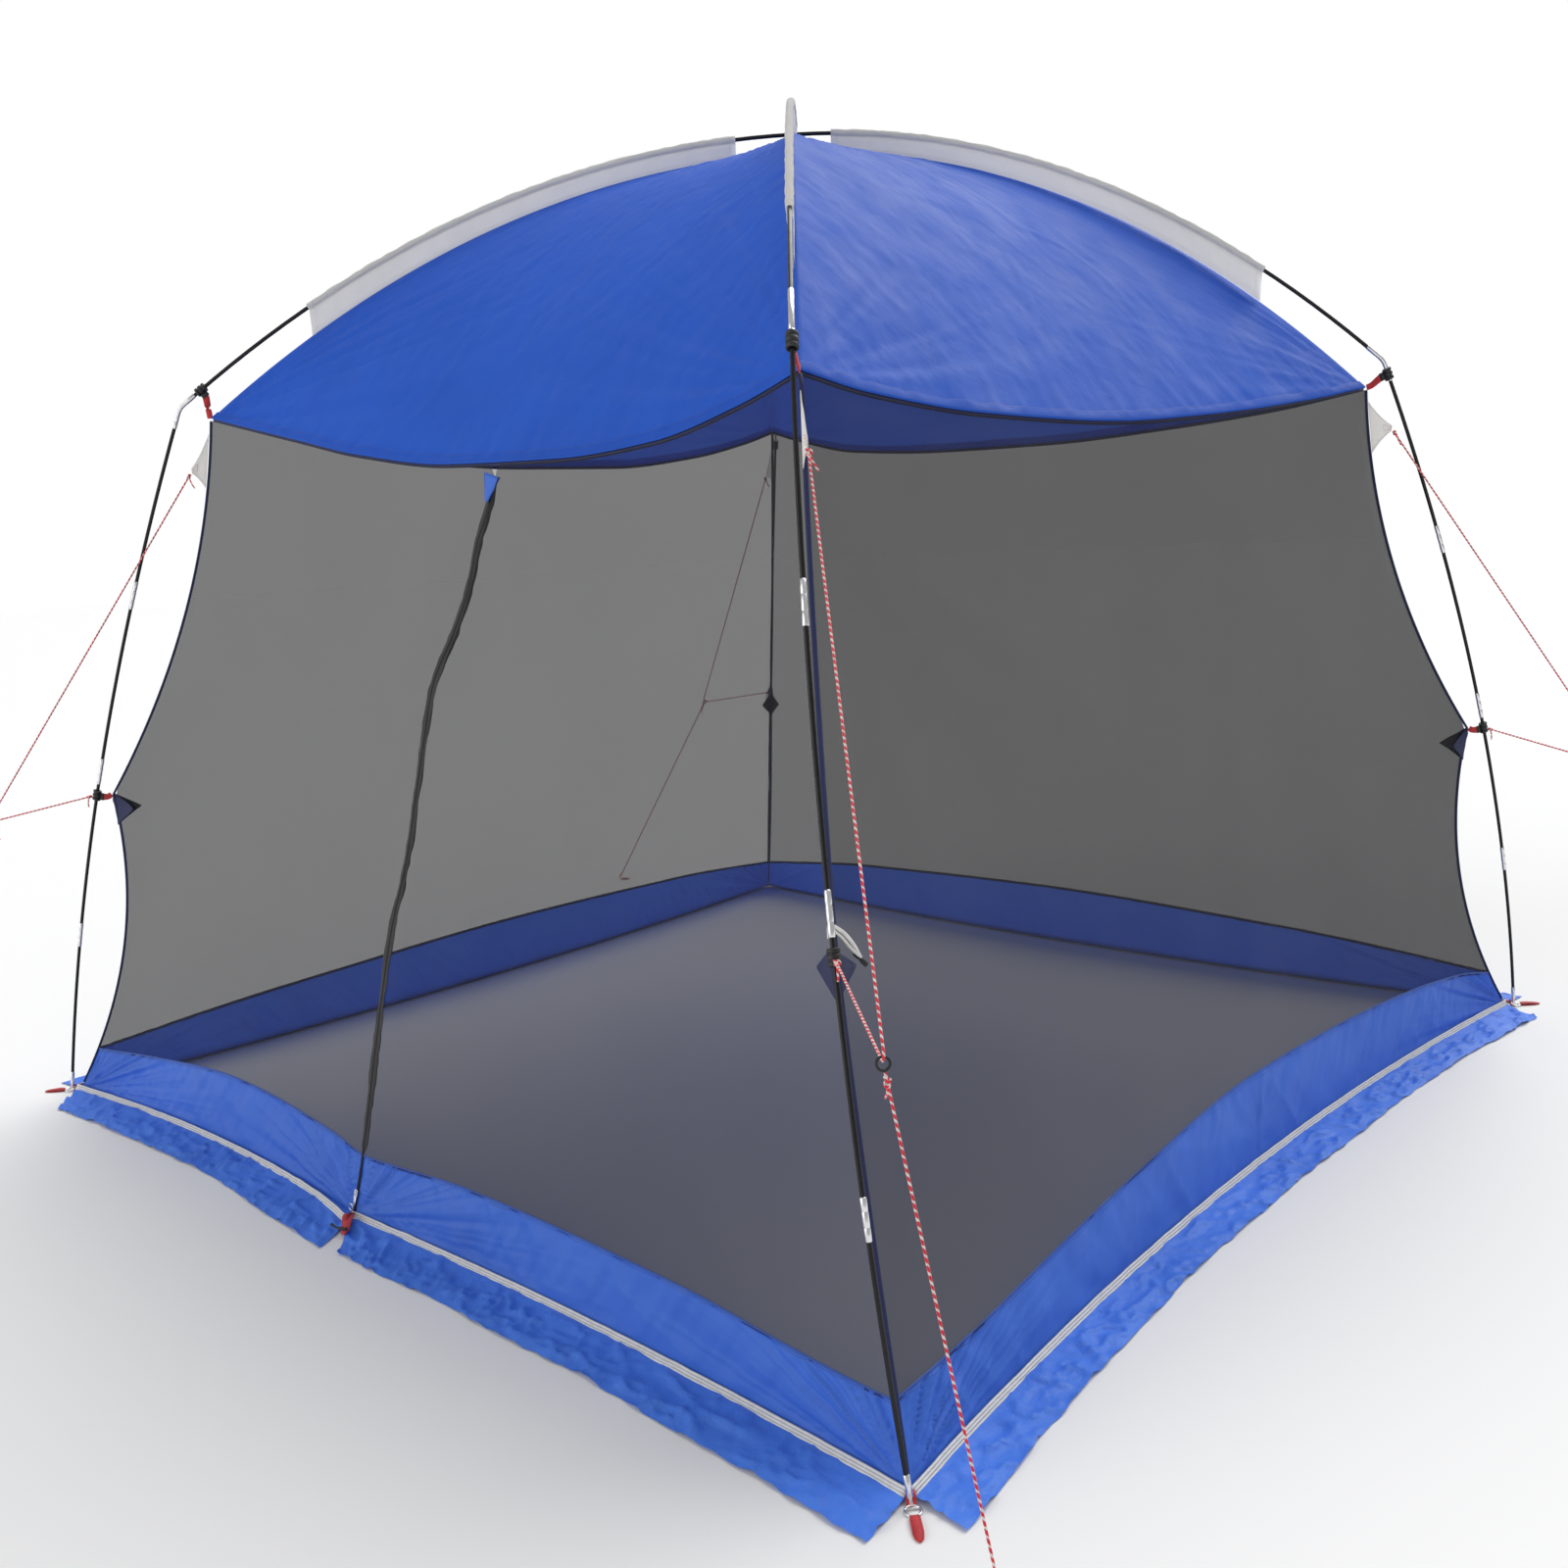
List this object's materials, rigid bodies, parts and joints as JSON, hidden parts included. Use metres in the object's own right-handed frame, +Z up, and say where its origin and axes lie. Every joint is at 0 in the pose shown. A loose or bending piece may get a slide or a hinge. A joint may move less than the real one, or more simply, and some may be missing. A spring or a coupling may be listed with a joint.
{
  "type": "screen house tent",
  "caption": "Square pitched screen house with a domed tarp roof on crossed bowed poles, mesh walls with a mud band, a zipped triangular door and guy lines.",
  "frame": {"origin": "on the ground at the middle of the footprint's bounding box", "axes": "+Z up, the door wall faces -Y, +X is the right-hand side of the door"},
  "size_m": [4.0984, 3.6238, 2.306],
  "materials": {
    "rod": "black fibreglass rod with bare metal ferrules and elbows",
    "metal": "plain bright metal",
    "canopy": "coated plain-weave polyester, blue, slightly shiny",
    "sleeve": "off-white woven fabric",
    "mesh": "fine dark grey netting with a blue band at the foot",
    "clip": "black moulded plastic with a red webbing strap",
    "rope": "twisted red and white cord"
  },
  "bodies": {
    "frame": {"front_left_lower_rod": "rod", "front_left_lower_middle_rod": "rod", "front_left_upper_middle_rod": "rod", "front_left_top_rod_and_elbow": "rod", "front_left_foot_ring": "metal", "front_left_eave_clip": "clip", "front_left_side_clip": "clip", "front_left_guy_tab": "sleeve", "front_left_guy_ring": "clip", "front_left_bridle": "rope", "front_left_guy_line": "rope", "front_right_lower_rod": "rod", "front_right_lower_middle_rod": "rod", "front_right_upper_middle_rod": "rod", "front_right_top_rod_and_elbow": "rod", "front_right_foot_ring": "metal", "front_right_eave_clip": "clip", "front_right_side_clip": "clip", "front_right_guy_tab": "sleeve", "front_right_guy_ring": "clip", "front_right_bridle": "rope", "front_right_guy_line": "rope", "back_right_lower_rod": "rod", "back_right_lower_middle_rod": "rod", "back_right_upper_middle_rod": "rod", "back_right_top_rod_and_elbow": "rod", "back_right_foot_ring": "metal", "back_right_eave_clip": "clip", "back_right_side_clip": "clip", "back_right_guy_tab": "sleeve", "back_right_guy_ring": "clip", "back_right_bridle": "rope", "back_right_guy_line": "rope", "back_left_lower_rod": "rod", "back_left_lower_middle_rod": "rod", "back_left_upper_middle_rod": "rod", "back_left_top_rod_and_elbow": "rod", "back_left_foot_ring": "metal", "back_left_eave_clip": "clip", "back_left_side_clip": "clip", "back_left_guy_tab": "sleeve", "back_left_guy_ring": "clip", "back_left_bridle": "rope", "back_left_guy_line": "rope", "pole_a_roof_arc": "rod", "pole_b_roof_arc": "rod", "canopy": "canopy", "front_left_pole_sleeve": "sleeve", "back_right_pole_sleeve": "sleeve", "pole_b_sleeve": "sleeve", "right_wall": "mesh", "back_wall": "mesh", "left_wall": "mesh", "door_fixed_left": "mesh", "door_fixed_right": "mesh"},
    "door_left": {"door_flap_left": "mesh"},
    "door_right": {"door_flap_right": "mesh"},
    "zip_slider": {"zip_slider": "metal"},
    "zip_puller": {"zip_puller": "metal"},
    "tie_back_toggle": {"tie_back_toggle": "clip"}
  },
  "joints": [
    {"name": "door_left_fold", "type": "hinge", "parent": "frame", "child": "door_left", "pos_m": [-1.4974, -1.4581, 0.006], "axis": [-0.7146, -0.2094, -0.6675], "range_deg": [0, 110]},
    {"name": "door_right_fold", "type": "hinge", "parent": "frame", "child": "door_right", "pos_m": [1.4963, -1.4434, 0.006], "axis": [-0.6569, 0.2193, 0.7214], "range_deg": [0, 110]},
    {"name": "zip_travel", "type": "slide", "parent": "door_right", "child": "zip_slider", "axis": [0.1319, 0.2807, 0.9507], "range_m": [0, 1.42]},
    {"name": "puller_swing", "type": "hinge", "parent": "zip_slider", "child": "zip_puller", "pos_m": [-0.07485, -1.425, 0.06389], "axis": [-0.9903, -0.0048, 0.1388], "range_deg": [0, 150]},
    {"name": "toggle_turn", "type": "hinge", "parent": "frame", "child": "tie_back_toggle", "pos_m": [1.3055, -1.274, 0.8], "axis": [1, 0, 0], "range_deg": [-60, 60]}
  ]
}
